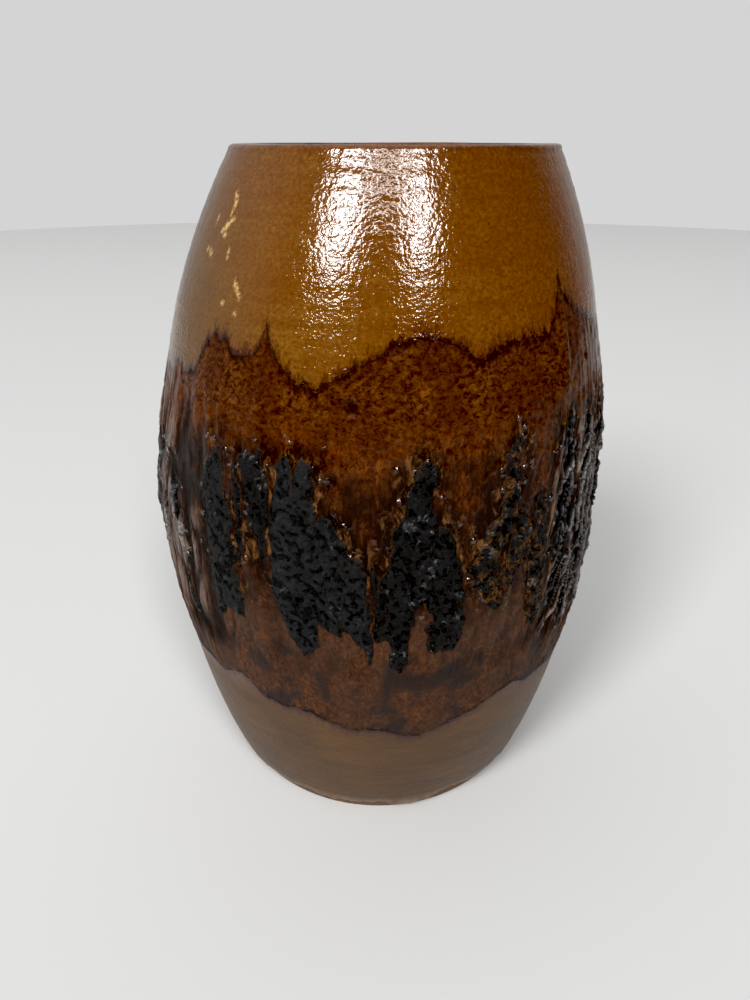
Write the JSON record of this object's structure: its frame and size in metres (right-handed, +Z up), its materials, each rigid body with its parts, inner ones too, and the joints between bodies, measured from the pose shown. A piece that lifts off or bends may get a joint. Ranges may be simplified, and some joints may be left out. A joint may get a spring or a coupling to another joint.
{
  "type": "bud vase",
  "caption": "Wheel-thrown stoneware vase, egg-shaped and open at the top, in ochre glaze with a dark iron band and raised black runs round its belly.",
  "frame": {"origin": "centre of the foot, on the surface that the vase stands on", "axes": "+Z up; -Y is the front; the rim leans slightly towards +X"},
  "size_m": [0.1278, 0.1271, 0.18],
  "materials": {
    "clay": "matte bare stoneware",
    "liner": "satin brown glaze",
    "ochre": "glossy orange-peel glaze",
    "iron": "mottled satin glaze",
    "black": "glossy crusted glaze"
  },
  "bodies": {
    "root": {"stoneware_body": "clay", "liner_glaze": "liner", "ochre_glaze": "ochre", "iron_glaze_band": "iron", "black_glaze_run_01": "black", "black_glaze_run_02": "black", "black_glaze_run_03": "black", "black_glaze_run_04": "black", "black_glaze_run_05": "black", "black_glaze_run_06": "black", "black_glaze_run_07": "black", "black_glaze_run_08": "black", "black_glaze_run_09": "black", "black_glaze_run_10": "black", "black_glaze_run_11": "black", "black_glaze_run_12": "black", "black_glaze_run_13": "black", "black_glaze_run_14": "black", "black_glaze_run_15": "black", "black_glaze_run_16": "black", "black_glaze_run_17": "black", "black_glaze_run_18": "black", "black_glaze_run_19": "black", "black_glaze_run_20": "black", "black_glaze_run_21": "black", "black_glaze_run_22": "black", "black_glaze_run_23": "black", "black_glaze_run_24": "black", "black_glaze_run_25": "black", "black_glaze_run_26": "black", "black_glaze_run_27": "black", "black_glaze_run_28": "black"}
  },
  "joints": []
}
